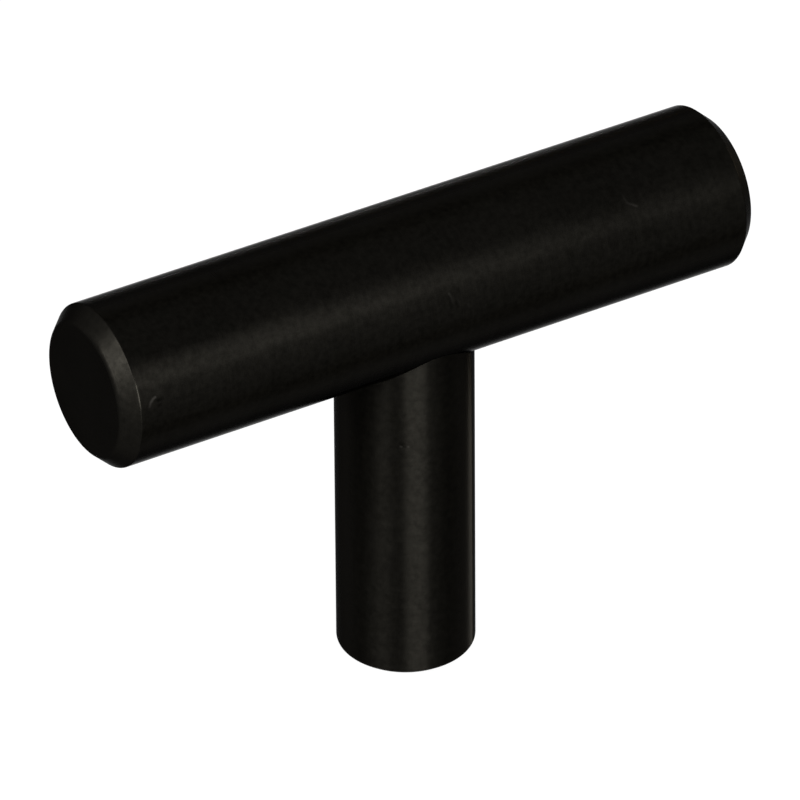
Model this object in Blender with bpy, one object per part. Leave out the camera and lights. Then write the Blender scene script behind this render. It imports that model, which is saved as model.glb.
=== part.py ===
"""T-bar cabinet knob: a chamfered round bar seated across the end of a round post.

Metres, +Z up. The origin is the centre of the post's foot, the face that sits against the
cabinet. The post stands along +Z and the bar lies along X. A headless stud, hidden inside,
draws the bar down into the saddle cut across the top of the post.
"""

import math

import bmesh
import bpy
from mathutils import Vector

# Bar
BAR_DIAMETER = 0.012
BAR_LENGTH = 0.052
BAR_CHAMFER_LENGTH = 0.0012  # along the bar
BAR_CHAMFER_DEPTH = 0.0010  # towards the bar's axis
BAR_EDGE_ROUND = 0.0003

# Post
POST_DIAMETER = 0.010
PROJECTION = 0.036  # cabinet face to the far side of the bar
POST_FOOT_BEVEL = 0.0006

# Tapped hole in the foot, drawn at the outer diameter of its thread
SCREW_HOLE_DIAMETER = 0.0042
SCREW_HOLE_DEPTH = 0.011
SCREW_HOLE_BEVEL = 0.0004

# Stud that joins post and bar, drawn at the outer diameter of its thread
STUD_DIAMETER = 0.005
STUD_IN_BAR = 0.0055
STUD_IN_POST = 0.006
STUD_END_BEVEL = 0.0005
SOCKET_ACROSS_FLATS = 0.0025
SOCKET_DEPTH = 0.0022

# Fits
SEAT_GAP = 0.0003  # between the saddle and the bar
THREAD_GAP = 0.0003  # round the stud, in its two tapped holes
HOLE_END_ROOM = 0.0006  # each tapped hole runs on past the end of the stud
DRILL_POINT_ANGLE = math.radians(118)

# Facets
TURNED_SEGMENTS = 96
HOLE_SEGMENTS = 48
ARC_STEPS = 4
CUTTER_OVERRUN = 0.002
WELD_DISTANCE = 1e-7
SHARP_ANGLE = math.radians(25)

bar_radius = BAR_DIAMETER / 2
post_radius = POST_DIAMETER / 2
stud_radius = STUD_DIAMETER / 2
stud_hole_radius = stud_radius + THREAD_GAP
bar_axis_height = PROJECTION - bar_radius
bar_underside = bar_axis_height - bar_radius
stud_bottom = bar_underside - STUD_IN_POST
stud_length = STUD_IN_POST + STUD_IN_BAR


def clear_scene():
    """Removes the objects of the scene that this file is run in."""
    for obj in list(bpy.data.objects):
        bpy.data.objects.remove(obj)


def surface_finish(name, colour, roughness, metallic):
    """A plain material for one piece."""
    material = bpy.data.materials.new(name)
    material.use_nodes = True
    material.diffuse_color = (*colour, 1.0)
    shader = material.node_tree.nodes["Principled BSDF"]
    shader.inputs["Base Color"].default_value = (*colour, 1.0)
    shader.inputs["Roughness"].default_value = roughness
    shader.inputs["Metallic"].default_value = metallic
    return material


def rounded_corner(before, corner, after, radius):
    """Points of the arc that blends a corner of an outline, tangent to both of its sides."""
    to_before = (before - corner).normalized()
    to_after = (after - corner).normalized()
    half_angle = to_before.angle(to_after) / 2
    reach = radius / math.tan(half_angle)
    centre = corner + (to_before + to_after).normalized() * (radius / math.sin(half_angle))
    start = corner + to_before * reach - centre
    end = corner + to_after * reach - centre
    sweep = -start.angle_signed(end)
    points = []
    for step in range(ARC_STEPS + 1):
        turn = sweep * step / ARC_STEPS
        across = start.x * math.cos(turn) - start.y * math.sin(turn)
        along = start.x * math.sin(turn) + start.y * math.cos(turn)
        points.append(centre + Vector((across, along)))
    return points


def outline_points(corners):
    """Points of an outline given as (radius, height) corners, or (radius, height, rounding) ones."""
    flat = [Vector(corner[:2]) for corner in corners]
    points = []
    for index, corner in enumerate(corners):
        if len(corner) == 3:
            points += rounded_corner(flat[index - 1], flat[index], flat[index + 1], corner[2])
        else:
            points.append(flat[index])
    return points


def turned_mesh(name, corners, segments):
    """A solid of revolution about Z. Its outline starts and ends on the axis."""
    builder = bmesh.new()
    ring = [builder.verts.new((point.x, 0.0, point.y)) for point in outline_points(corners)]
    edges = [builder.edges.new(pair) for pair in zip(ring, ring[1:])]
    bmesh.ops.spin(
        builder,
        geom=ring + edges,
        cent=(0.0, 0.0, 0.0),
        axis=(0.0, 0.0, 1.0),
        angle=math.tau,
        steps=segments,
        use_merge=True,
    )
    bmesh.ops.remove_doubles(builder, verts=builder.verts, dist=WELD_DISTANCE)
    bmesh.ops.recalc_face_normals(builder, faces=builder.faces)
    mesh = bpy.data.meshes.new(name)
    builder.to_mesh(mesh)
    builder.free()
    mesh.shade_smooth()
    mesh.set_sharp_from_angle(angle=SHARP_ANGLE)
    return mesh


def turned_object(name, corners, segments, parent, height=0.0, turn_y=0.0):
    """A turned piece at a height on the knob's centre line, leaning by an angle about Y."""
    obj = bpy.data.objects.new(name, turned_mesh(name, corners, segments))
    bpy.context.scene.collection.objects.link(obj)
    obj.parent = parent
    obj.location.z = height
    obj.rotation_euler.y = turn_y
    return obj


def drilled_hole(name, parent, radius, depth, mouth_height, turn_y=0.0, bevel=0.0):
    """Cutter for a blind hole with a drill point at its end and, if asked, a sloping mouth."""
    point_length = radius / math.tan(DRILL_POINT_ANGLE / 2)
    flare = bevel + CUTTER_OVERRUN if bevel else 0.0
    corners = [
        (0.0, -CUTTER_OVERRUN),
        (radius + flare, -CUTTER_OVERRUN),
        (radius, bevel),
        (radius, depth),
        (0.0, depth + point_length),
    ]
    return turned_object(name, corners, HOLE_SEGMENTS, parent, mouth_height, turn_y)


def carve(obj, cutters):
    """Cuts the shapes out of the object for good and marks the edges that they leave as sharp."""
    for cutter in cutters:
        modifier = obj.modifiers.new(cutter.name, "BOOLEAN")
        modifier.operation = "DIFFERENCE"
        modifier.object = cutter
    evaluated = obj.evaluated_get(bpy.context.evaluated_depsgraph_get())
    mesh = bpy.data.meshes.new_from_object(evaluated)
    mesh.name = obj.name
    mesh.set_sharp_from_angle(angle=SHARP_ANGLE)
    obj.modifiers.clear()
    obj.data = mesh
    for cutter in cutters:
        bpy.data.objects.remove(cutter)


def make_cross_bar(parent):
    """Round bar with bevelled, slightly rounded ends and a tapped hole in its underside."""
    half = BAR_LENGTH / 2
    face_radius = bar_radius - BAR_CHAMFER_DEPTH
    shoulder = half - BAR_CHAMFER_LENGTH
    corners = [
        (0.0, -half),
        (face_radius, -half, BAR_EDGE_ROUND),
        (bar_radius, -shoulder, BAR_EDGE_ROUND),
        (bar_radius, shoulder, BAR_EDGE_ROUND),
        (face_radius, half, BAR_EDGE_ROUND),
        (0.0, half),
    ]
    bar = turned_object("cross_bar", corners, TURNED_SEGMENTS, parent, bar_axis_height, math.pi / 2)
    bar.data.materials.append(surface_finish("satin black bar", (0.012, 0.011, 0.009), 0.32, 0.6))
    hole_depth = STUD_IN_BAR + HOLE_END_ROOM
    carve(bar, [drilled_hole("bar_stud_hole", parent, stud_hole_radius, hole_depth, bar_underside)])


def make_post(parent):
    """Round post with a bevelled foot, a saddle across its top and a tapped hole at each end."""
    corners = [
        (0.0, 0.0),
        (post_radius - POST_FOOT_BEVEL, 0.0),
        (post_radius, POST_FOOT_BEVEL),
        (post_radius, bar_axis_height),
        (0.0, bar_axis_height),
    ]
    post = turned_object("post", corners, TURNED_SEGMENTS, parent)
    post.data.materials.append(surface_finish("satin black post", (0.012, 0.011, 0.009), 0.36, 0.6))

    saddle_radius = bar_radius + SEAT_GAP
    saddle_half = post_radius + CUTTER_OVERRUN
    saddle_corners = [
        (0.0, -saddle_half),
        (saddle_radius, -saddle_half),
        (saddle_radius, saddle_half),
        (0.0, saddle_half),
    ]
    saddle = turned_object(
        "saddle", saddle_corners, TURNED_SEGMENTS, parent, bar_axis_height, math.pi / 2,
    )
    stud_hole = drilled_hole(
        "post_stud_hole", parent, stud_hole_radius, STUD_IN_POST + HOLE_END_ROOM, bar_underside, math.pi,
    )
    screw_hole = drilled_hole(
        "screw_hole", parent, SCREW_HOLE_DIAMETER / 2, SCREW_HOLE_DEPTH, 0.0, bevel=SCREW_HOLE_BEVEL,
    )
    carve(post, [saddle, stud_hole, screw_hole])


def make_joining_stud(parent):
    """Headless stud with bevelled ends and a six-sided key socket in its lower one."""
    corners = [
        (0.0, 0.0),
        (stud_radius - STUD_END_BEVEL, 0.0),
        (stud_radius, STUD_END_BEVEL),
        (stud_radius, stud_length - STUD_END_BEVEL),
        (stud_radius - STUD_END_BEVEL, stud_length),
        (0.0, stud_length),
    ]
    stud = turned_object("joining_stud", corners, HOLE_SEGMENTS, parent, stud_bottom)
    stud.data.materials.append(surface_finish("plated steel stud", (0.55, 0.54, 0.52), 0.3, 1.0))

    across_corners = SOCKET_ACROSS_FLATS / math.cos(math.pi / 6)
    socket_corners = [
        (0.0, -CUTTER_OVERRUN),
        (across_corners / 2, -CUTTER_OVERRUN),
        (across_corners / 2, SOCKET_DEPTH),
        (0.0, SOCKET_DEPTH),
    ]
    carve(stud, [turned_object("key_socket", socket_corners, 6, parent, stud_bottom)])


def main():
    clear_scene()
    knob = bpy.data.objects.new("knob", None)
    bpy.context.scene.collection.objects.link(knob)
    make_post(knob)
    make_joining_stud(knob)
    make_cross_bar(knob)


main()
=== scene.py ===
"""Satin black T-bar cabinet knob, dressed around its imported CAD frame.

Metres, +Z up. The knob stands on the foot of its post at the origin, and its bar lies along X.
Every piece is a surface worked out with numpy as whole arrays of points.
"""

import math

import bpy
import numpy as np
from bpy.props import FloatProperty, FloatVectorProperty, IntProperty, PointerProperty
from bpy.types import Operator, Panel, PropertyGroup
from mathutils import Matrix, Vector


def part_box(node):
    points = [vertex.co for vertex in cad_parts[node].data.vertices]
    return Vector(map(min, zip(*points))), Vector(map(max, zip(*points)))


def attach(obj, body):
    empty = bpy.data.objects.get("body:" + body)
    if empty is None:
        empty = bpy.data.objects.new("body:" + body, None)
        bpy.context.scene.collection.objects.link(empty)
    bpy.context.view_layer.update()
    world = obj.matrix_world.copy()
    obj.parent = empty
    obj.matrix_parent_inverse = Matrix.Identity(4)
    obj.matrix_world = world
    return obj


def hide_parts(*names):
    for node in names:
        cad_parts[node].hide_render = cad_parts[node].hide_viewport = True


bl_info = {
    "name": "T-Bar Cabinet Knob",
    "version": (1, 0, 0),
    "blender": (4, 5, 0),
    "location": "3D Viewport > Sidebar > T-Bar Knob",
    "description": "Makes a satin black T-bar cabinet knob and a plain studio round it",
    "category": "Add Mesh",
}

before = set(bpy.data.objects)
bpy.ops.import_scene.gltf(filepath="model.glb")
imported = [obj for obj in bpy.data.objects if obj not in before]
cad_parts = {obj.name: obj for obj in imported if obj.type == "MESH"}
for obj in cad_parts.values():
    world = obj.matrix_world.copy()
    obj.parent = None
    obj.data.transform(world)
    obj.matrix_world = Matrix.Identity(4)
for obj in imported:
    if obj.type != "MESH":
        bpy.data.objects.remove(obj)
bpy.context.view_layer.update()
bar_low, bar_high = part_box("cross_bar")
post_low, post_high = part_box("post")
stud_low, stud_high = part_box("joining_stud")

TOP = 0.5 * math.pi  # turn about the bar at which its columns of points start
HEX_SIDES = 6
FIRST_RING = 0.1  # radius of an end face's first ring, against that of the face
RING_CROWDING = 0.8  # below 1, the rings of the window crowd towards the hole
SOCKET_RINGS = ((0.4,), (0.9,), (1.0,))  # on the socket's floor, against its width
TOP_RINGS = ((0.9,), (0.5,))  # on the stud's upper end, against its rim
SIDE_SUPPORT = 0.25  # of the side edge's rounding
FOOT_SUPPORT = 0.125  # of the foot's rounding
THREAD_SLOPE = 1.35  # of a thread's flanks, which leaves a flat at its crest and root
THREAD_FLAT = 0.15  # share of a thread's wave that its outer flat cuts off
THREAD_CLEARANCE = 0.00002  # by which the thread in a hole is shallower than the stud's
QUARTER_TURN = 0.25  # of a full circle, as the shader counts it
FAR_OFF = 1000.0  # times the bar's half length
LAMP_POWER = 4.0  # for each square metre of a lamp's face, at a brightness of 1
SENSOR_WIDTH = 36.0  # of the camera, in millimetres

# Noises of the finishes: how many grains to a metre, octaves, and how rough the finer ones are
FINE_LINES = (9000.0, 3.0, 0.7)
GRAIN = (2200.0, 3.0, 0.6)
CLOUD = (160.0, 3.0, 0.5)
STEEL_CLOUD = (900.0, 4.0, 0.6)

# Broad turning rings: the same numbers for their noise, and the height of all turning lines
SIDE_RINGS = ((1400.0, 2.0, 0.5), 0.000001)
END_RINGS = ((3500.0, 2.0, 0.5), 0.000006)

# Shares of those noises in the black's shade and gloss
FINE_SHARE = 0.6
LINES_IN_SHADE = 0.4
GRAIN_IN_SHADE = 0.65
CLOUD_IN_SHADE = 0.22
MIDDLE_SHADE = 0.4
DARKEST_SHADE = 0.3
LIGHTEST_SHADE = 2.5
LINES_IN_GLOSS = 0.10
CLOUD_IN_GLOSS = 0.06
CLOUD_IN_STEEL_GLOSS = 0.2
DULLEST_STEEL = 0.7

# Brightness of the black of each kind of surface, against that of the bar's side. The ends'
# lighter black is painted highlight: a brighter copy of the same black that stands in for lamp
# light on the bevels
BRIGHTNESS = {"bar": 1.0, "post": 1.0, "end": 1.28}

# Cosines of the viewing angle between which the black is lighter towards an outline
FILL_START = 0.19
FILL_FULL = 0.26
FILL_EASE = 0.33
FILL_END = {"bar": 0.68, "post": 0.68, "end": 0.85}
FACING_BLEND = 0.5  # at which Layer Weight's Facing is 1 less that cosine

# Marks: a width, then points given as along the bar, round it from the front and strength
BAR_SCRATCHES = (
    (0.00016, (
        (-0.02361, 0.00177, 0.34), (-0.02379, 0.00169, 0.34),
        (-0.02401, 0.00149, 0.28), (-0.02414, 0.00121, 0.12),
    )),
    (0.00015, ((0.01560, 0.00517, 0.01), (0.01575, 0.00430, 0.10), (0.01638, 0.00388, 0.15))),
    (0.00014, ((0.00033, 0.00217, 0.15), (0.00044, 0.00188, 0.08), (0.00052, 0.00141, 0.02))),
    (0.00016, ((0.00083, 0.00180, 0.01), (0.00095, 0.00150, 0.04), (0.00102, 0.00114, 0.01))),
    (0.00020, ((0.00170, 0.00097, 0.04), (0.00180, 0.00078, 0.03))),
    (0.00018, ((-0.00073, 0.00045, 0.03), (-0.00070, 0.00019, 0.02))),
)
BAR_SPECKS = (
    (0.00030, ((0.00087, 0.00253, 0.2), (0.00103, 0.00218, 0.3))),
    (0.00024, ((0.00027, 0.00189, 0.2), (0.00026, 0.00140, 0.3))),
    (0.00024, ((0.00076, 0.00137, 0.3), (0.00087, 0.00106, 0.4))),
    (0.00022, ((-0.02342, 0.00148, 0.6), (-0.02307, 0.00152, 0.3))),
    (0.00020, ((-0.02345, 0.00111, 0.5), (-0.02328, 0.00113, 0.4))),
)

# The same on the post, with points given as round it from the front, height and strength
POST_DOTS = (
    (0.00013, ((-0.00303, 0.01963, 0.16), (-0.00294, 0.01961, 0.16))),
    (0.00011, ((-0.00250, 0.01961, 0.14), (-0.00245, 0.01962, 0.14))),
)
POST_SMUDGES = (
    (0.00040, ((-0.00297, 0.02010, 0.15), (-0.00293, 0.01986, 0.3))),
    (0.00015, ((-0.00277, 0.01963, 0.4), (-0.00269, 0.01963, 0.4))),
)
LIGHT_MARK = (0.045, 0.042, 0.038, 1.0)
MARK_HEIGHT = 2.0  # times the height of a turning line


def metres(name, description, default, precision=5):
    """A length in metres."""
    return FloatProperty(
        name=name, description=description, default=default, unit="LENGTH", precision=precision,
    )


def degrees(name, description, default):
    """An angle, given in degrees."""
    return FloatProperty(
        name=name, description=description, default=math.radians(default), subtype="ANGLE",
    )


def fraction(name, description, default):
    """A number from 0 to 1."""
    return FloatProperty(name=name, description=description, default=default, min=0.0, max=1.0)


def linear_colour(name, description, default):
    """A colour, given as linear red, green and blue."""
    return FloatVectorProperty(
        name=name, description=description, default=default,
        subtype="COLOR", size=3, min=0.0, max=1.0,
    )


def count(name, description, default, fewest):
    """A whole number of divisions."""
    return IntProperty(name=name, description=description, default=default, min=fewest)


def lamp_direction(name, azimuth, height, turn):
    """Where a lamp stands: azimuth from the front, height, and turn in its own plane."""
    return FloatVectorProperty(
        name=f"{name} direction",
        description="Azimuth from the front, height above the floor and turn of the lamp",
        subtype="EULER",
        size=3,
        default=tuple(math.radians(angle) for angle in (azimuth, height, turn)),
    )


def lamp_spread(name, width, tall):
    """How wide and how tall a lamp looks from the knob."""
    return FloatVectorProperty(
        name=f"{name} spread",
        description="Angles that the lamp takes up as seen from the knob, across and up",
        unit="ROTATION",
        size=2,
        default=(math.radians(width), math.radians(tall)),
    )


def lamp_brightness(name, brightness):
    """How bright a lamp's face is."""
    return FloatProperty(
        name=f"{name} brightness",
        description="Brightness of the lamp's face, where the white floor is 1",
        default=brightness,
        min=0.0,
    )


class KnobSizes(PropertyGroup):
    """Sizes of the three metal pieces."""

    bar_radius: metres("Bar radius", "Radius of the round bar", (bar_high.z - bar_low.z) / 2)
    bar_half_length: metres("Bar half length", "Half its length", (bar_high.x - bar_low.x) / 2)
    bar_axis_height: metres("Bar axis height", "Height of its axis", (bar_high.z + bar_low.z) / 2)
    chamfer_length: metres("Bevel length", "Length of each end's bevel, along the bar", 0.00115)
    chamfer_depth: metres("Bevel depth", "Depth of each end's bevel, towards the axis", 0.00108)
    side_round: metres("Side edge rounding", "Rounding between each bevel and the side", 0.0002)
    face_round: metres("Face edge rounding", "Rounding between each bevel and the face", 0.0005)
    post_radius: metres("Post radius", "Radius of the round post", (post_high.x - post_low.x) / 2)
    foot_bevel: metres("Foot bevel", "Width of the foot's bevel, towards the axis", 0.0006)
    foot_bevel_height: metres("Foot bevel height", "Height of the bevel round the foot", 0.00045)
    foot_round: metres("Foot rounding", "Radius of the worn edges of the foot's bevel", 0.0004)
    saddle_break: metres("Saddle edge break", "Width of the saddle's broken outer edge", 0.00003)
    seat_gap: metres("Seat gap", "Gap between the saddle and the bar", 0.00001, precision=6)
    screw_radius: metres("Screw hole radius", "Outer radius of the M4 thread in the foot", 0.0021)
    screw_pitch: metres("Screw hole pitch", "Pitch of the thread in the foot", 0.0007)
    screw_thread: metres("Screw hole thread depth", "Depth of the thread in the foot", 0.00042)
    screw_hole_depth: metres("Screw hole depth", "Depth of the wall of the foot's hole", 0.011)
    screw_hole_bevel: metres("Screw hole bevel", "Width of the bevel at that hole's mouth", 0.0004)
    stud_radius: metres("Stud radius", "Outer radius of the stud", (stud_high.x - stud_low.x) / 2)
    stud_bottom: metres("Stud bottom", "Height of the lower end of the joining stud", stud_low.z)
    stud_top: metres("Stud top", "Height of the upper end of the joining stud", stud_high.z)
    stud_pitch: metres("Stud pitch", "Pitch of the stud's thread", 0.0008)
    stud_thread: metres("Stud thread depth", "Depth of the stud's thread", 0.00045)
    stud_bevel: metres("Stud bevel", "Width of the bevel at each end of the stud", 0.0005)
    socket_half_width: metres("Socket half width", "From its middle to each of its flats", 0.00125)
    socket_depth: metres("Socket depth", "Depth of the key socket", 0.0022)
    stud_hole_radius: metres("Stud hole radius", "Outer radius of the stud's two holes", 0.00255)
    stud_hole_room: metres("Stud hole room", "How far these holes run past the stud", 0.0006)
    drill_angle: degrees("Drill point", "Full angle of each hole's drill point", 118)


class KnobFinish(PropertyGroup):
    """Colours and gloss of the finishes."""

    black: linear_colour("Black", "Colour of the satin black finish", (0.00385, 0.0036, 0.0030))
    bar_edge_tint: fraction("Bar edge tint", "Reflection at a low angle on the bar's side", 0.302)
    bar_edge_black: linear_colour("Bar edge black", "Near the outline", (0.0262, 0.0255, 0.0243))
    bar_roughness: fraction("Bar roughness", "Roughness of the bar's side", 0.29)
    bar_stretch: fraction("Bar stretch", "Stretch of highlights across turning lines", 0.312)
    post_edge_tint: fraction("Post edge tint", "Reflection at a low angle on the post", 0.342)
    post_edge_black: linear_colour("Post edge black", "Near the outline", (0.0132, 0.0125, 0.0113))
    post_roughness: fraction("Post roughness", "Roughness of the post's side", 0.434)
    post_stretch: fraction("Post stretch", "Stretch of highlights across turning lines", 0.961)
    end_edge_tint: fraction("End edge tint", "Reflection at a low angle on the bar's ends", 0.301)
    end_edge_black: linear_colour("End edge black", "Near the outline", (0.0131, 0.0124, 0.0112))
    end_roughness: fraction("End roughness", "Roughness of the bar's bevels and end faces", 0.396)
    end_stretch: fraction("End stretch", "Stretch of highlights across turning lines", 0.0)
    steel: linear_colour("Steel", "Colour of the plated joining stud", (0.55, 0.54, 0.52))
    steel_roughness: fraction("Steel roughness", "Least roughness of the stud", 0.22)


class KnobStudio(PropertyGroup):
    """Floor, lamps and camera."""

    floor_size: metres("Floor size", "Length of each side of the floor", 8.0)
    floor_squares: count("Floor squares", "Squares along each side of the floor", 8, 1)
    floor_own_light: fraction("Floor own light", "Share of its white that no shadow takes", 0.9)
    floor_bounce: fraction("Floor bounce", "Share of light that it gives back to the knob", 0.8)
    sky_fill: fraction("Sky fill", "Strength of the soft light from all round", 0.12)
    lamp_distance: metres("Lamp distance", "From the knob to each lamp", 0.27)
    front_direction: lamp_direction("Front lamp", -14, 10.6, 0)
    front_spread: lamp_spread("Front lamp", 31, 28.9)
    front_brightness: lamp_brightness("Front lamp", 20.5)
    side_direction: lamp_direction("Side lamp", -75, 36, -27)
    side_spread: lamp_spread("Side lamp", 38, 15)
    side_brightness: lamp_brightness("Side lamp", 18.5)
    fill_direction: lamp_direction("Fill lamp", -62, 17, 0)
    fill_spread: lamp_spread("Fill lamp", 66, 27)
    fill_brightness: lamp_brightness("Fill lamp", 2.2)
    rim_direction: lamp_direction("Rim lamp", 97, 6.3, 0)
    rim_spread: lamp_spread("Rim lamp", 24, 20.4)
    rim_brightness: lamp_brightness("Rim lamp", 23.0)
    right_direction: lamp_direction("Right lamp", 15, 29, 9)
    right_spread: lamp_spread("Right lamp", 21, 28)
    right_brightness: lamp_brightness("Right lamp", 3.3)
    back_direction: lamp_direction("Back lamp", 154, 10.6, 0)
    back_spread: lamp_spread("Back lamp", 11, 29.1)
    back_brightness: lamp_brightness("Back lamp", 10.1)
    camera_azimuth: degrees("Camera azimuth", "Its place round the knob, from the front", -31.247)
    camera_height: degrees("Camera height", "Camera's angle above the knob", 32.791)
    camera_roll: degrees("Camera roll", "Camera's turn about its own line of sight", -0.415)
    camera_distance: metres("Camera distance", "From the camera to its aim", 0.826404)
    camera_slide: FloatVectorProperty(
        name="Camera slide",
        description="How far the camera is moved to its right and upwards without turning",
        unit="LENGTH",
        precision=6,
        size=2,
        default=(-0.000301, 0.000270),
    )
    camera_aim_height: metres("Camera aim height", "Height of the point it is aimed at", 0.020)
    camera_lens: FloatProperty(
        name="Camera lens", description="Focal length in millimetres", default=525.0,
    )


class KnobDetail(PropertyGroup):
    """How finely the surfaces are divided."""

    bar_columns: count("Bar columns", "Divisions round the bar. A multiple of eight", 256, 64)
    bar_rows: count("Bar rows", "Divisions from each bevel to the stud hole's window", 28, 4)
    end_rings: count("End rings", "Rings of points on each end face", 11, 2)
    window_columns: count("Window columns", "Divisions on each side of the underside", 30, 8)
    window_rows: count("Window rows", "Divisions of the window along the bar", 40, 8)
    window_half_length: metres("Window half length", "Half its length along the bar", 0.0045)
    window_rings: count("Window rings", "Divisions from its border to the stud hole", 10, 2)
    post_columns: count("Post columns", "Divisions round the post", 240, 48)
    post_rows: count("Post rows", "Divisions up the post's side", 40, 4)
    foot_rings: count("Foot rings", "Divisions across the foot's flat face", 5, 2)
    saddle_rings: count("Saddle rings", "Divisions across the saddle", 24, 4)
    stud_columns: count("Stud columns", "Divisions round the stud. A multiple of six", 192, 48)
    stud_rings: count("Stud rings", "Divisions across the stud's lower end", 4, 2)
    socket_rows: count("Socket rows", "Divisions down the key socket", 12, 2)
    rows_per_turn: count("Rows per turn", "Divisions along each turn of a thread", 8, 4)
    arc_steps: count("Arc steps", "Divisions of each rounded edge", 6, 2)


class Term:
    """A number at a socket of a finish. Sums, products and powers of terms add Math nodes."""

    def __init__(self, finish, socket):
        self.finish = finish
        self.socket = socket

    def __add__(self, other):
        return self.finish.maths("ADD", self, other)

    def __sub__(self, other):
        return self.finish.maths("SUBTRACT", self, other)

    def __rsub__(self, other):
        return self.finish.maths("SUBTRACT", other, self)

    def __mul__(self, other):
        return self.finish.maths("MULTIPLY", self, other)

    def __truediv__(self, other):
        return self.finish.maths("DIVIDE", self, other)

    def __pow__(self, other):
        return self.finish.maths("POWER", self, other)

    def __neg__(self):
        return self.finish.maths("MULTIPLY", self, -1.0)


class Finish:
    """A material or world in the making."""

    def __init__(self, name, owner=None):
        self.owner = owner or bpy.data.materials.new(name)
        self.owner.use_nodes = True
        self.tree = self.owner.node_tree
        self.tree.nodes.clear()

    def node(self, kind, settings=None, inputs=None):
        """Adds a node: its settings first, then the numbers, colours or links of its sockets."""
        made = self.tree.nodes.new(kind)
        for name, value in (settings or {}).items():
            setattr(made, name, value)
        for name, value in (inputs or {}).items():
            socket = self.find(made.inputs, name)
            if isinstance(value, Term):
                self.tree.links.new(value.socket, socket)
            elif isinstance(value, bpy.types.NodeSocket):
                self.tree.links.new(value, socket)
            else:
                socket.default_value = value
        return made

    @staticmethod
    def find(sockets, name):
        """The socket with that place, identifier or name."""
        if isinstance(name, int):
            return sockets[name]
        for socket in sockets:
            if socket.identifier == name:
                return socket
        return sockets[name]

    def maths(self, operation, *values):
        """The outcome of a Math node."""
        made = self.node("ShaderNodeMath", {"operation": operation}, dict(enumerate(values)))
        return Term(self, made.outputs[0])

    def output(self, kind, settings=None, inputs=None, name=0):
        """One output of a new node as a term."""
        made = self.node(kind, settings, inputs)
        return Term(self, self.find(made.outputs, name))

    def object_place(self):
        """The three object coordinates, in metres, as terms."""
        place = self.node("ShaderNodeTexCoord").outputs["Object"]
        split = self.node("ShaderNodeSeparateXYZ", inputs={0: place})
        return [Term(self, socket) for socket in split.outputs]

    def reach(self, first, second):
        """The root of the sum of two terms squared."""
        return self.maths("SQRT", first ** 2.0 + second ** 2.0)

    def mix_colours(self, factor, first, second):
        """A colour between two others."""
        settings = {"data_type": "RGBA"}
        inputs = {"Factor_Float": factor, "A_Color": first, "B_Color": second}
        return self.output("ShaderNodeMix", settings, inputs, "Result_Color")

    def scaled(self, colour, strength):
        """A colour times a number."""
        inputs = {0: colour, "Scale": strength}
        return self.output("ShaderNodeVectorMath", {"operation": "SCALE"}, inputs, "Vector")

    def noise(self, place, scale, detail, roughness):
        """Noise between 0 and 1 at a place given by its three terms."""
        vector = self.node("ShaderNodeCombineXYZ", inputs=dict(enumerate(place))).outputs[0]
        inputs = {"Vector": vector, "Scale": scale, "Detail": detail, "Roughness": roughness}
        return self.output("ShaderNodeTexNoise", None, inputs, "Fac")

    def fall(self, value, start, end):
        """1 below the start, 0 above the end, and a smooth slope between."""
        inputs = {"Value": value, "From Min": start, "From Max": end, "To Min": 1.0, "To Max": 0.0}
        return self.output("ShaderNodeMapRange", {"interpolation_type": "SMOOTHSTEP"}, inputs)

    def shader(self, kind, inputs):
        """The output of a new shader node."""
        return self.node(kind, inputs=inputs).outputs[0]

    def close_with(self, shader):
        """Ends the material or world in this shader."""
        kind = "World" if isinstance(self.owner, bpy.types.World) else "Material"
        self.node(f"ShaderNodeOutput{kind}", inputs={"Surface": shader})
        return self.owner


def opaque(colour, strength=1.0):
    """A colour's red, green and blue times a strength, and the alpha that a socket wants."""
    return (*(strength * value for value in colour), 1.0)


def grey(value):
    """A grey for a socket."""
    return (value, value, value, 1.0)


def scratches(finish, first, second, paths):
    """Mask of fine scratches on a developed surface.

    Each path is a width and its points, given as (first, second, strength). The distance to a
    leg of a path is what is left of the way from its start to the place, less the part of that
    way along the leg. The mask falls from the strength at that part to 0 at the width.
    """
    mask = None
    for width, points in paths:
        for start, end in zip(points, points[1:]):
            leg = (end[0] - start[0], end[1] - start[1])
            length_squared = leg[0] ** 2 + leg[1] ** 2
            from_start = (first - start[0], second - start[1])
            share = (from_start[0] * leg[0] + from_start[1] * leg[1]) / length_squared
            share = finish.maths("MINIMUM", finish.maths("MAXIMUM", share, 0.0), 1.0)
            left_over = (from_start[0] - share * leg[0], from_start[1] - share * leg[1])
            strength = share * (end[2] - start[2]) + start[2]
            leg_mask = finish.fall(finish.reach(*left_over), 0.0, width) * strength
            mask = leg_mask if mask is None else finish.maths("MAXIMUM", mask, leg_mask)
    return mask


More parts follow.
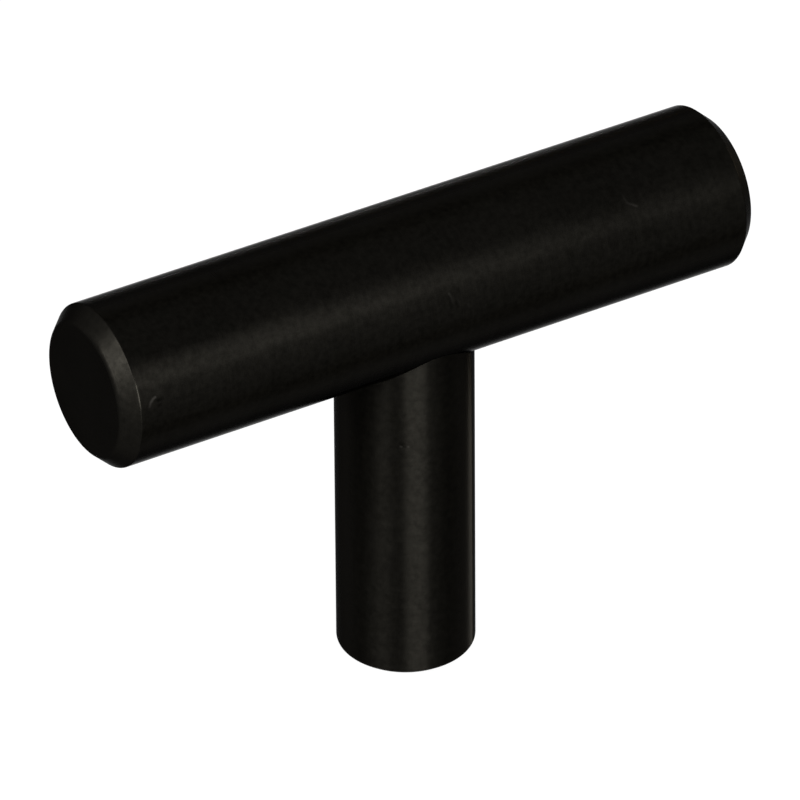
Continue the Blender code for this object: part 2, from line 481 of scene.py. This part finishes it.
def black_metal(name, looks, surface, along, rings, marks=None):
    """Satin black finish on turned metal, with the gloss of the bar, the post or the bar's end.

    along gives, from the finish and the three object coordinates, the distance along the
    turned profile, on which the turning lines depend. rings are the broad lines' noise and the
    height of all lines, in metres. marks gives the masks of the piece's light and dark marks.

    A low edge tint keeps the outline of a satin black as dark as the rest of it, and the
    colour rises where that tint would take too much: with the cosine of the viewing angle it
    grows from FILL_START to FILL_FULL, and falls again from FILL_EASE to FILL_END.
    """
    finish = Finish(name)
    place = finish.object_place()
    ring_noise, ring_height = rings
    profile = along(finish, place)
    fine = finish.noise([profile, 0.0, 0.0], *FINE_LINES)
    broad = finish.noise([profile, 0.0, 0.0], *ring_noise)
    cloud = finish.noise(place, *CLOUD) - 0.5
    grain = finish.noise(place, *GRAIN) - 0.5
    lines = fine * FINE_SHARE + broad * (1.0 - FINE_SHARE) - 0.5
    mottle = lines * LINES_IN_SHADE + grain * GRAIN_IN_SHADE + cloud * CLOUD_IN_SHADE
    # On the bar's ends BRIGHTNESS makes this a lighter copy of the black, a painted highlight on
    # the bevels
    darker = opaque(looks.black, DARKEST_SHADE * BRIGHTNESS[surface])
    lighter = opaque(looks.black, LIGHTEST_SHADE * BRIGHTNESS[surface])
    shade = finish.mix_colours(mottle + MIDDLE_SHADE, darker, lighter)

    facing = finish.output("ShaderNodeLayerWeight", None, {"Blend": FACING_BLEND}, "Facing")
    cosine = 1.0 - facing
    risen = 1.0 - finish.fall(cosine, FILL_START, FILL_FULL)
    fill = risen * finish.fall(cosine, FILL_EASE, FILL_END[surface])
    shade = finish.mix_colours(fill, shade, opaque(getattr(looks, f"{surface}_edge_black")))

    roughness = getattr(looks, f"{surface}_roughness")
    gloss = lines * LINES_IN_GLOSS + cloud * CLOUD_IN_GLOSS + roughness
    height = lines
    if marks:
        light, dark = marks(finish, place)
        shade = finish.scaled(shade, 1.0 - dark)
        shade = finish.mix_colours(light, shade, LIGHT_MARK)
        height = height + light * MARK_HEIGHT
    bump = {"Strength": 1.0, "Distance": ring_height, "Height": height}
    stretch = getattr(looks, f"{surface}_stretch")
    return finish.close_with(finish.shader("ShaderNodeBsdfPrincipled", {
        "Base Color": shade,
        "Metallic": 1.0,
        "Roughness": gloss,
        "Specular Tint": grey(getattr(looks, f"{surface}_edge_tint")),
        "Anisotropic": stretch,
        "Anisotropic Rotation": QUARTER_TURN if stretch else 0.0,
        "Normal": finish.output("ShaderNodeBump", None, bump),
    }))


def plated_steel(looks):
    """Bright plated steel of the joining stud, a little mottled."""
    finish = Finish("plated_steel")
    cloud = finish.noise(finish.object_place(), *STEEL_CLOUD)
    bright, dull = opaque(looks.steel), opaque(looks.steel, DULLEST_STEEL)
    return finish.close_with(finish.shader("ShaderNodeBsdfPrincipled", {
        "Base Color": finish.mix_colours(cloud, bright, dull),
        "Metallic": 1.0,
        "Roughness": cloud * CLOUD_IN_STEEL_GLOSS + looks.steel_roughness,
    }))


def seen_directly(finish):
    """1 for what the camera sees, straight or in a mirror or glass, and 0 for diffuse light."""
    rays = finish.node("ShaderNodeLightPath").outputs
    straight = Term(finish, rays["Is Camera Ray"])
    mirrored = Term(finish, rays["Is Glossy Ray"])
    through = Term(finish, rays["Is Transmission Ray"])
    return finish.maths("MAXIMUM", finish.maths("MAXIMUM", straight, mirrored), through)


def floor_white(studio):
    """White floor. Most of the white that is seen is its own, so a shadow on it is faint."""
    finish = Finish("floor_white")
    lit_share = grey(1.0 - studio.floor_own_light)
    own = finish.shader("ShaderNodeEmission", {"Strength": studio.floor_own_light})
    lit = finish.shader("ShaderNodeBsdfDiffuse", {"Color": lit_share})
    seen = finish.shader("ShaderNodeAddShader", {0: own, 1: lit})
    plain = finish.shader("ShaderNodeBsdfDiffuse", {"Color": grey(studio.floor_bounce)})
    inputs = {0: seen_directly(finish), 1: plain, 2: seen}
    return finish.close_with(finish.shader("ShaderNodeMixShader", inputs))


def white_surroundings(studio):
    """World that is white to the camera and to reflections, and a soft fill to all the rest."""
    world = bpy.data.worlds.new("white_surroundings")
    finish = Finish("white_surroundings", world)
    seen = seen_directly(finish)
    strength = seen + (1.0 - seen) * studio.sky_fill
    inputs = {"Color": grey(1.0), "Strength": strength}
    return finish.close_with(finish.shader("ShaderNodeBackground", inputs))


def rounded_outline(corners, steps, support):
    """Outline through corners given as (along, radius) or (along, radius, rounding).

    A rounding is an arc whose centre lies where the lines at its radius inside both neighbouring
    sides meet. A point stands on each side a short support away from every arc, so that the
    smooth shading of the arc doesn't spread over the flat beside it.
    """
    outline = []
    for index, corner in enumerate(corners):
        here = np.array(corner[:2])
        if len(corner) == 2:
            outline.append(here[None, :])
            continue
        before = np.array(corners[index - 1][:2]) - here
        after = np.array(corners[index + 1][:2]) - here
        before /= np.linalg.norm(before)
        after /= np.linalg.norm(after)
        half_angle = math.acos(np.clip(before @ after, -1.0, 1.0)) / 2
        reach = corner[2] / math.tan(half_angle)
        middle = before + after
        middle /= np.linalg.norm(middle)
        centre = here + middle * corner[2] / math.sin(half_angle)
        first = here + before * reach - centre
        last = here + after * reach - centre
        sweep = math.pi - 2 * half_angle
        blend = np.linspace(0.0, 1.0, steps + 1)[:, None]
        arc = np.sin((1 - blend) * sweep) * first + np.sin(blend * sweep) * last
        arc /= math.sin(sweep)
        outline.append((here + before * (reach + support))[None, :])
        outline.append(centre + arc)
        outline.append((here + after * (reach + support))[None, :])
    return np.vstack(outline)


def shares(steps):
    """A column of the numbers up to 1 in equal steps, without 0."""
    return np.linspace(0.0, 1.0, steps + 1)[1:, None]


def thread_wave(turn, height, pitch):
    """Blunt triangle wave of a right-hand thread: 0 on its outer flat and 1 on its inner flat.

    The wave is of height over pitch less the share of a full circle turned.
    """
    phase = np.mod(height / pitch - turn / math.tau, 1.0)
    return np.clip(np.abs(phase * 2.0 - 1.0) * THREAD_SLOPE - THREAD_FLAT, 0.0, 1.0)


def end_fade(height, low, high, length):
    """1 between two heights, with a straight fall to 0 over a length at each end."""
    return np.clip(np.minimum(height - low, high - height) / length, 0.0, 1.0)


def stud_hole_wall(sizes, turn, height, low, high):
    """Radii of the threaded wall of a hole that holds the stud, between two heights."""
    wave = thread_wave(turn, height, sizes.stud_pitch)
    fade = end_fade(height, low, high, sizes.stud_pitch)
    return sizes.stud_hole_radius - (sizes.stud_thread - THREAD_CLEARANCE) * wave * fade


def ring_faces(first_row, second_row):
    """Quads between two closed rows of point numbers.

    They face out where the rows run along the axis of an outside surface and the numbers turn
    with the right hand about it.
    """
    first_next = np.roll(first_row, -1, axis=-1)
    second_next = np.roll(second_row, -1, axis=-1)
    return np.stack([first_row, first_next, second_next, second_row], axis=-1).reshape(-1, 4)


def fan(ring, pole):
    """Triangles from a closed ring of point numbers to one pole."""
    return np.stack([ring, np.roll(ring, -1), np.full(len(ring), pole)], axis=-1)


def put_mesh(name, points, quads, triangles, materials, material_of_quad=None):
    """A mesh object at the origin, with smooth faces, from arrays of points and faces."""
    corners = np.concatenate([quads.ravel(), triangles.ravel()]).astype(np.int32)
    sides = np.concatenate([np.full(len(quads), 4), np.full(len(triangles), 3)]).astype(np.int32)
    starts = np.concatenate([[0], np.cumsum(sides)[:-1]]).astype(np.int32)
    mesh = bpy.data.meshes.new(name)
    mesh.vertices.add(len(points))
    mesh.vertices.foreach_set("co", points.astype(np.float32).ravel())
    mesh.loops.add(len(corners))
    mesh.loops.foreach_set("vertex_index", corners)
    mesh.polygons.add(len(sides))
    mesh.polygons.foreach_set("loop_start", starts)
    for material in materials:
        mesh.materials.append(material)
    if material_of_quad is not None:
        tail = np.full(len(triangles), material_of_quad[-1])
        indices = np.concatenate([material_of_quad, tail]).astype(np.int32)
        mesh.polygons.foreach_set("material_index", indices)
    mesh.update(calc_edges=True)
    if mesh.validate():
        raise RuntimeError(f"the mesh of {name} had faces that were not valid")
    mesh.shade_smooth()
    obj = bpy.data.objects.new(name, mesh)
    bpy.context.scene.collection.objects.link(obj)
    return obj


class TurnedSurface:
    """A closed surface about Z, built up row by row along its profile.

    A point lies at (radius cos turn, radius sin turn, height). The profile starts and ends on
    the axis, at its two pole heights.
    """

    def __init__(self, columns):
        self.turns = np.arange(columns) * math.tau / columns
        self.radii = []
        self.heights = []

    def add(self, radii, heights):
        """Adds rows. Each of the two is one number, one for each row, or one for each point."""
        radii, heights, _ = np.broadcast_arrays(radii, heights, self.turns[None, :])
        self.radii.append(radii)
        self.heights.append(heights)

    def close(self, name, first_pole, last_pole, material):
        """The finished object."""
        radii, heights = np.vstack(self.radii), np.vstack(self.heights)
        ring = np.stack([radii * np.cos(self.turns), radii * np.sin(self.turns), heights], axis=-1)
        points = np.vstack([ring.reshape(-1, 3), [[0, 0, first_pole], [0, 0, last_pole]]])
        numbers = np.arange(radii.size).reshape(radii.shape)
        quads = ring_faces(numbers[:-1], numbers[1:])
        start = fan(numbers[0], radii.size)[:, (1, 0, 2)]
        end = fan(numbers[-1], radii.size + 1)
        return put_mesh(name, points, quads, np.vstack([start, end]), [material])


def hand_over(obj, node):
    """Puts a piece in the place of its CAD node."""
    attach(obj, "root")
    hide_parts(node)


class KNOB_OT_cross_bar(Operator):
    """Make the round bar with its bevelled ends and the tapped hole in its underside"""

    bl_idname = "knob.cross_bar"
    bl_label = "Cross Bar"
    bl_options = {"REGISTER", "UNDO"}

    def execute(self, context):
        knob = context.scene.t_bar_knob
        points, quads, triangles, is_end = self.surface(knob.sizes, knob.detail)
        materials = [self.side_finish(knob), self.end_finish(knob)]
        obj = put_mesh("satin_cross_bar", points, quads, triangles, materials, is_end)
        self.aim_highlights(obj.data, knob.sizes)
        hand_over(obj, "cross_bar")
        return {"FINISHED"}

    @staticmethod
    def aim_highlights(mesh, sizes):
        """Sets the mesh's texture space so that the shader's own tangent lies across the bar.

        That tangent turns about the middle of the texture space. With the middle far off along
        the bar and the space very deep, it is the Y direction everywhere, and laid on the bar's
        side it follows the turning lines.
        """
        far = FAR_OFF * sizes.bar_half_length
        mesh.use_auto_texspace = False
        mesh.texspace_location = (-far, 0.0, sizes.bar_axis_height)
        mesh.texspace_size = (sizes.bar_half_length, FAR_OFF * far, sizes.bar_radius)

    @staticmethod
    def profile(sizes, detail):
        """The bar's outline as (along, radius) points: its left half up to the stud hole's
        window, the window's rows, and the right half."""
        radius, half = sizes.bar_radius, sizes.bar_half_length
        corners = [
            (-half, 0.0),
            (-half, radius - sizes.chamfer_depth, sizes.face_round),
            (sizes.chamfer_length - half, radius, sizes.side_round),
            (0.0, radius),
        ]
        bevel = rounded_outline(corners, detail.arc_steps, SIDE_SUPPORT * sizes.side_round)[1:-1]
        rings = np.linspace(FIRST_RING, 1.0, detail.end_rings + 1)[:-1] * bevel[0, 1]
        face = np.stack([np.full_like(rings, -half), rings], axis=-1)
        reach = detail.window_half_length
        window = np.linspace(-reach, reach, detail.window_rows + 1)
        plain = np.linspace(bevel[-1, 0], -reach, detail.bar_rows + 1)[1:-1]
        left = np.vstack([face, bevel, np.stack([plain, np.full_like(plain, radius)], axis=-1)])
        middle = np.stack([window, np.full_like(window, radius)], axis=-1)
        return left, middle, left[::-1] * (-1.0, 1.0)

    @classmethod
    def surface(cls, sizes, detail):
        """The bar's outside is its profile carried round the X axis: a point lies at
        (along, radius cos turn, axis height + radius sin turn). A window is left out of that
        grid at the underside, and the stud hole's rings and wall fill it. Quads of the ends
        and of the hole are told apart from those of the side.
        """
        left, middle, right = cls.profile(sizes, detail)
        profile = np.vstack([left, middle, right])
        rows, columns = len(profile), detail.bar_columns
        turns = TOP + np.arange(columns) * math.tau / columns
        along, reach = profile[:, :1], profile[:, 1:]
        outside = np.stack([
            np.repeat(along, columns, axis=1),
            reach * np.cos(turns),
            sizes.bar_axis_height + reach * np.sin(turns),
        ], axis=-1).reshape(-1, 3)
        numbers = np.arange(rows * columns).reshape(rows, columns)

        first_row, last_row = len(left), len(left) + detail.window_rows
        first_column = columns // 2 - detail.window_columns
        last_column = columns // 2 + detail.window_columns
        kept = np.ones((rows - 1, columns), bool)
        kept[first_row:last_row, first_column:last_column] = False
        quads = ring_faces(numbers[:-1], numbers[1:])[kept.ravel()]
        shoulder = sizes.bar_half_length - sizes.chamfer_length
        on_end = np.abs(along[:-1] + along[1:]) / 2 > shoulder
        on_end = np.repeat(on_end, columns, axis=1)[kept]

        border = np.concatenate([
            numbers[last_row, first_column:last_column],
            numbers[last_row:first_row:-1, last_column],
            numbers[first_row, last_column:first_column:-1],
            numbers[first_row:last_row, first_column],
        ])
        hole = cls.stud_hole(sizes, detail, outside[border])
        hole_numbers = len(outside) + np.arange(hole.size // 3).reshape(hole.shape[:2])
        walls = np.vstack([border[None, :], hole_numbers])
        hole_quads = ring_faces(walls[1:], walls[:-1])
        drill_point = sizes.stud_hole_radius / math.tan(sizes.drill_angle / 2)
        poles = [
            [-sizes.bar_half_length, 0.0, sizes.bar_axis_height],
            [sizes.bar_half_length, 0.0, sizes.bar_axis_height],
            [0.0, 0.0, hole[-1, -1, 2] + drill_point],
        ]
        points = np.vstack([outside, hole.reshape(-1, 3), poles])
        first_pole = len(points) - len(poles)
        triangles = np.vstack([
            fan(numbers[0][::-1], first_pole),
            fan(numbers[-1], first_pole + 1),
            fan(hole_numbers[-1][::-1], first_pole + 2),
        ])
        is_end = np.concatenate([on_end, np.ones(len(hole_quads), bool)]).astype(np.int32)
        return points, np.vstack([quads, hole_quads]), triangles, is_end

    @staticmethod
    def stud_hole(sizes, detail, border):
        """Rows of points of the stud hole, with a column for each point of the window's border.

        Rings blend in the developed plane from the border to the hole's mouth. On them, the
        height is the axis height less the bar's radius times the cosine of the turn from the
        underside. The threaded wall follows.
        """
        radius, hole = sizes.bar_radius, sizes.stud_hole_radius
        edge = np.stack([border[:, 0], np.arcsin(border[:, 1] / radius) * radius], axis=-1)
        turn = np.arctan2(edge[:, 1], edge[:, 0])
        mouth_across = np.arcsin(hole * np.sin(turn) / radius) * radius
        mouth = np.stack([hole * np.cos(turn), mouth_across], axis=-1)
        blend = (shares(detail.window_rings) ** RING_CROWDING)[..., None]
        flat = edge * (1 - blend) + mouth * blend
        bend = flat[..., 1] / radius
        rings = np.stack([
            flat[..., 0],
            radius * np.sin(bend),
            sizes.bar_axis_height - radius * np.cos(bend),
        ], axis=-1)
        low = rings[-1, :, 2]
        high = sizes.stud_top + sizes.stud_hole_room
        steps = int((high - low.min()) / sizes.stud_pitch * detail.rows_per_turn)
        height = low + (high - low) * shares(steps)
        wall_radius = stud_hole_wall(sizes, turn, height, low, high)
        wall = np.stack([wall_radius * np.cos(turn), wall_radius * np.sin(turn), height], axis=-1)
        return np.concatenate([rings, wall])

    @staticmethod
    def side_finish(knob):
        """Black finish of the bar's side, with the few marks on it."""
        sizes = knob.sizes

        def along(finish, place):
            return place[0]

        def marks(finish, place):
            front = finish.maths("ARCTAN2", place[2] - sizes.bar_axis_height, -place[1])
            across = front * sizes.bar_radius
            light = scratches(finish, place[0], across, BAR_SCRATCHES)
            return light, scratches(finish, place[0], across, BAR_SPECKS)

        return black_metal("satin_black_bar", knob.finish, "bar", along, SIDE_RINGS, marks)

    @staticmethod
    def end_finish(knob):
        """Black finish of the bar's bevels, end faces and hole, turned in rings round its axis."""
        sizes = knob.sizes

        def along(finish, place):
            reach = finish.reach(place[1], place[2] - sizes.bar_axis_height)
            return finish.maths("ABSOLUTE", place[0]) - reach

        return black_metal("satin_black_ends", knob.finish, "end", along, END_RINGS)


class KNOB_OT_post(Operator):
    """Make the round post with its saddle and its two tapped holes"""

    bl_idname = "knob.post"
    bl_label = "Post"
    bl_options = {"REGISTER", "UNDO"}

    def execute(self, context):
        knob = context.scene.t_bar_knob
        surface, first_pole, last_pole = self.surface(knob.sizes, knob.detail)
        obj = surface.close("satin_post", first_pole, last_pole, self.black_finish(knob))
        hand_over(obj, "post")
        return {"FINISHED"}

    @staticmethod
    def black_finish(knob):
        """Black finish of the post, with the few marks on it."""

        def along(finish, place):
            return place[2] - finish.reach(place[0], place[1])

        def marks(finish, place):
            front = finish.maths("ARCTAN2", place[0], -place[1])
            around = front * knob.sizes.post_radius
            light = scratches(finish, around, place[2], POST_DOTS)
            return light, scratches(finish, around, place[2], POST_SMUDGES)

        return black_metal("satin_black_post", knob.finish, "post", along, SIDE_RINGS, marks)

    @staticmethod
    def surface(sizes, detail):
        """The post is one profile carried round Z: from the drill point of the screw hole down
        its threaded wall to the bevelled mouth, out over the foot, up the side, in over the
        saddle, and down the threaded wall of the stud hole to its drill point. The saddle's
        height is the bar's axis height less the root of the saddle's radius squared less the
        square of the way across, which is the radius times the sine of the turn.
        """
        rows = TurnedSurface(detail.post_columns)
        saddle_radius = sizes.bar_radius + sizes.seat_gap

        def saddle(reach):
            across = reach * np.sin(rows.turns)
            return sizes.bar_axis_height - np.sqrt(saddle_radius ** 2 - across ** 2)

        # Screw hole, from its end down to its mouth
        depth, mouth = sizes.screw_hole_depth, sizes.screw_radius + sizes.screw_hole_bevel
        steps = int(depth / sizes.screw_pitch * detail.rows_per_turn)
        height = np.linspace(depth, 0.0, steps + 1)[:, None]
        wave = thread_wave(rows.turns, height, sizes.screw_pitch)
        fade = end_fade(height, -sizes.screw_pitch, depth, sizes.screw_pitch)
        wall = sizes.screw_radius - sizes.screw_thread * wave * fade
        rows.add(np.maximum(wall, mouth - height), height)

        # Foot and its bevelled edge
        corners = [
            (mouth, 0.0),
            (sizes.post_radius - sizes.foot_bevel, 0.0, sizes.foot_round),
            (sizes.post_radius, sizes.foot_bevel_height, sizes.foot_round),
            (sizes.post_radius, sizes.bar_axis_height),
        ]
        edge = rounded_outline(corners, detail.arc_steps, FOOT_SUPPORT * sizes.foot_round)[1:-1]
        rows.add(np.linspace(mouth, edge[0, 0], detail.foot_rings + 1)[1:-1, None], 0.0)
        rows.add(edge[:, :1], edge[:, 1:])

        # Side, up to the broken edge of the saddle, with a support row close under it
        side_bottom = edge[-1, 1]
        side_top = saddle(sizes.post_radius) - sizes.saddle_break
        climb = side_top - sizes.saddle_break - side_bottom
        rows.add(sizes.post_radius, side_bottom + climb * shares(detail.post_rows))
        rows.add(sizes.post_radius, side_top)

        # Saddle, again with a support row close to the edge
        inner = sizes.post_radius - sizes.saddle_break
        hole = sizes.stud_hole_radius
        spread = np.linspace(inner - sizes.saddle_break, hole, detail.saddle_rings + 1)
        reach = np.concatenate([[inner], spread])[:, None]
        rows.add(reach, saddle(reach))

        # Stud hole, from its mouth down to its end
        top = saddle(hole)
        end = sizes.stud_bottom - sizes.stud_hole_room
        steps = int((top.max() - end) / sizes.stud_pitch * detail.rows_per_turn)
        height = top + (end - top) * shares(steps)
        rows.add(stud_hole_wall(sizes, rows.turns, height, end, top), height)

        slope = math.tan(sizes.drill_angle / 2)
        return rows, depth + sizes.screw_radius / slope, end - hole / slope


class KNOB_OT_stud(Operator):
    """Make the threaded stud that joins the bar to the post"""

    bl_idname = "knob.stud"
    bl_label = "Joining Stud"
    bl_options = {"REGISTER", "UNDO"}

    def execute(self, context):
        knob = context.scene.t_bar_knob
        surface, first_pole, last_pole = self.surface(knob.sizes, knob.detail)
        obj = surface.close("threaded_stud", first_pole, last_pole, plated_steel(knob.finish))
        hand_over(obj, "joining_stud")
        return {"FINISHED"}

    @staticmethod
    def surface(sizes, detail):
        """The stud is one profile carried round Z: from the middle of the socket's floor out to
        its six flats and down them, out over the lower end, up the thread between two bevels,
        and in over the upper end. A flat's radius is the half width over the cosine of the turn
        from the middle of that flat.
        """
        rows = TurnedSurface(detail.stud_columns)
        low, high = sizes.stud_bottom, sizes.stud_top
        floor = low + sizes.socket_depth
        rim = sizes.stud_radius - sizes.stud_bevel
        flat_turn = math.tau / HEX_SIDES
        from_flat = np.mod(rows.turns + flat_turn / 2, flat_turn) - flat_turn / 2
        flats = sizes.socket_half_width / np.cos(from_flat)

        # Socket and lower end
        rows.add(flats * np.array(SOCKET_RINGS), floor)
        rows.add(flats, np.linspace(floor, low, detail.socket_rows + 1)[1:, None])
        blend = shares(detail.stud_rings)
        rows.add(flats * (1 - blend) + rim * blend, low)

        # Thread, which a bevel cuts off at each end, and upper end
        steps = int((high - low) / sizes.stud_pitch * detail.rows_per_turn)
        height = np.linspace(low, high, steps + 1)[1:, None]
        wave = thread_wave(rows.turns, height, sizes.stud_pitch)
        bevel = rim + np.minimum(height - low, high - height)
        rows.add(np.minimum(sizes.stud_radius - sizes.stud_thread * wave, bevel), height)
        rows.add(rim * np.array(TOP_RINGS), high)
        return rows, floor, high


class KNOB_OT_studio(Operator):
    """Set the floor, the lamps, the white surroundings and the camera"""

    bl_idname = "knob.studio"
    bl_label = "Studio"
    bl_options = {"REGISTER", "UNDO"}

    def execute(self, context):
        scene = context.scene
        studio = scene.t_bar_knob.studio
        self.floor(studio)
        scene.world = white_surroundings(studio)
        aim = Vector((0.0, 0.0, studio.camera_aim_height))
        for name in ("front", "side", "fill", "rim", "right", "back"):
            self.lamp(studio, name, aim)
        scene.camera = self.camera(studio, aim)
        scene.view_settings.view_transform = "Standard"
        return {"FINISHED"}

    @staticmethod
    def floor(studio):
        """A square grid at the foot of the knob: a point lies at (column, row, 0)."""
        half = studio.floor_size / 2
        line = np.linspace(-half, half, studio.floor_squares + 1)
        columns, rows = np.meshgrid(line, line)
        points = np.stack([columns, rows, np.zeros_like(columns)], axis=-1).reshape(-1, 3)
        numbers = np.arange(columns.size).reshape(columns.shape)
        corners = [numbers[:-1, :-1], numbers[:-1, 1:], numbers[1:, 1:], numbers[1:, :-1]]
        quads = np.stack(corners, axis=-1).reshape(-1, 4)
        put_mesh("floor", points, quads, np.zeros((0, 3)), [floor_white(studio)])

    @staticmethod
    def direction(azimuth, height):
        """Unit vector towards an azimuth from the front, to the right, and a height."""
        level = math.cos(height)
        return Vector((math.sin(azimuth) * level, -math.cos(azimuth) * level, math.sin(height)))

    @classmethod
    def lamp(cls, studio, name, aim):
        """A soft rectangular lamp that faces the knob. Its power goes with its brightness and
        its area."""
        azimuth, height, turn = getattr(studio, f"{name}_direction")
        towards = cls.direction(azimuth, height)
        spread = getattr(studio, f"{name}_spread")
        light = bpy.data.lights.new(f"{name}_lamp", "AREA")
        light.shape = "RECTANGLE"
        light.size = 2 * studio.lamp_distance * math.tan(spread[0] / 2)
        light.size_y = 2 * studio.lamp_distance * math.tan(spread[1] / 2)
        brightness = getattr(studio, f"{name}_brightness")
        light.energy = LAMP_POWER * brightness * light.size * light.size_y
        obj = bpy.data.objects.new(f"{name}_lamp", light)
        facing = towards.to_track_quat("Z", "Y").to_matrix() @ Matrix.Rotation(turn, 3, "Z")
        obj.location = aim + towards * studio.lamp_distance
        obj.rotation_euler = facing.to_euler()
        obj.visible_camera = False
        bpy.context.scene.collection.objects.link(obj)

    @classmethod
    def camera(cls, studio, aim):
        """Camera at the photograph's viewing angle."""
        back = cls.direction(studio.camera_azimuth, studio.camera_height)
        level = Vector((math.cos(studio.camera_azimuth), math.sin(studio.camera_azimuth), 0.0))
        above = back.cross(level)
        cos_roll, sin_roll = math.cos(studio.camera_roll), math.sin(studio.camera_roll)
        right = level * cos_roll + above * sin_roll
        up = above * cos_roll - level * sin_roll
        slide = right * studio.camera_slide[0] + up * studio.camera_slide[1]
        data = bpy.data.cameras.new("photo_camera")
        data.lens = studio.camera_lens
        data.sensor_width = SENSOR_WIDTH
        obj = bpy.data.objects.new("photo_camera", data)
        turned = Matrix((right, up, back)).transposed().to_4x4()
        obj.matrix_world = Matrix.Translation(aim + slide + back * studio.camera_distance) @ turned
        bpy.context.scene.collection.objects.link(obj)
        return obj


class KnobSettings(PropertyGroup):
    """Everything that the knob's operators read."""

    sizes: PointerProperty(type=KnobSizes)
    finish: PointerProperty(type=KnobFinish)
    studio: PointerProperty(type=KnobStudio)
    detail: PointerProperty(type=KnobDetail)


class KNOB_PT_pieces(Panel):
    """Lists the knob's pieces and their settings in the sidebar"""

    bl_label = "T-Bar Knob"
    bl_space_type = "VIEW_3D"
    bl_region_type = "UI"
    bl_category = "T-Bar Knob"

    def draw(self, context):
        knob = context.scene.t_bar_knob
        for operator in PIECES:
            self.layout.operator(operator.bl_idname)
        for group in (knob.sizes, knob.finish, knob.studio, knob.detail):
            box = self.layout.box()
            for name in group.__annotations__:
                box.prop(group, name)


PIECES = (KNOB_OT_cross_bar, KNOB_OT_post, KNOB_OT_stud, KNOB_OT_studio)
CLASSES = (KnobSizes, KnobFinish, KnobStudio, KnobDetail, KnobSettings, *PIECES, KNOB_PT_pieces)


def register():
    for item in CLASSES:
        bpy.utils.register_class(item)
    bpy.types.Scene.t_bar_knob = PointerProperty(type=KnobSettings)


def unregister():
    del bpy.types.Scene.t_bar_knob
    for item in reversed(CLASSES):
        bpy.utils.unregister_class(item)


def main():
    register()
    bpy.ops.knob.cross_bar()
    bpy.ops.knob.post()
    bpy.ops.knob.stud()
    bpy.ops.knob.studio()


if __name__ == "__main__":
    main()
